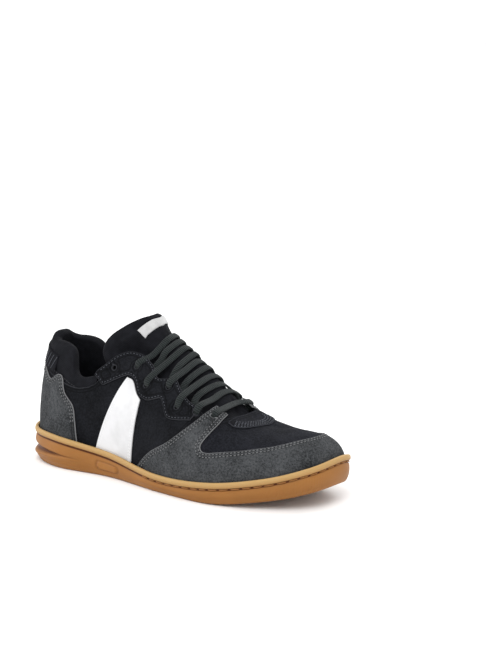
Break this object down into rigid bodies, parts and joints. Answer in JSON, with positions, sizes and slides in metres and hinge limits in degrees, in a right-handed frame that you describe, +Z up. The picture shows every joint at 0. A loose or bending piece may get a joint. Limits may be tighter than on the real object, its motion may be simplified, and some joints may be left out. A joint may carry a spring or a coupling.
{
  "type": "court shoe",
  "caption": "Low-cut laced indoor court shoe for the right foot: suede and leather upper, padded collar and tongue, stitched gum cupsole.",
  "frame": {"origin": "on the ground under the middle of the sole's length, between the two sides of the sole", "axes": "+X from heel to toe, +Y to the inner (medial) side of the foot, +Z up"},
  "size_m": [0.3, 0.1109, 0.1295],
  "materials": {
    "gum_rubber": "satin",
    "grey_suede": "matte napped",
    "black_suede": "matte napped",
    "white_leather": "smooth satin",
    "black_textile": "fine knit, matte",
    "lining_textile": "soft knit, matte",
    "lace_weave": "flat braid, matte",
    "thread": "twisted, matte",
    "label_weave": "woven, matte",
    "foam": "open-cell, matte",
    "eva_foam": "closed-cell, matte",
    "board": "fibre board, matte",
    "stiffener": "matte",
    "lace_tip": "gloss"
  },
  "bodies": {
    "shoe": {"cupsole": "gum_rubber", "midsole_wedge": "eva_foam", "strobel_board": "board", "sockliner": "lining_textile", "sole_thread": "thread", "heel_counter": "stiffener", "toe_puff": "stiffener", "vamp": "black_suede", "vamp_lining": "lining_textile", "throat_patch": "black_textile", "toe_guard": "grey_suede", "quarter_lateral": "black_suede", "quarter_medial": "black_suede", "quarter_lining_lateral": "lining_textile", "quarter_lining_medial": "lining_textile", "eyestay_lateral": "black_suede", "eyestay_medial": "black_suede", "side_band_lateral": "white_leather", "side_band_medial": "white_leather", "heel_foxing": "grey_suede", "heel_patch": "black_textile", "collar_panel": "black_textile", "collar_foam": "foam", "heel_lining": "lining_textile", "lace": "lace_weave", "lace_tips": "lace_tip"},
    "tongue": {"tongue_shell": "black_textile", "tongue_foam": "foam", "tongue_lining": "lining_textile", "tongue_label": "label_weave"}
  },
  "joints": [
    {"name": "tongue_fold", "type": "hinge", "parent": "shoe", "child": "tongue", "pos_m": [0.056, 0.01, 0.056], "axis": [0, -1, 0], "range_deg": [0, 2.5], "stiffness_Nm_per_rad": 0.15, "springref_deg": -17.19}
  ]
}
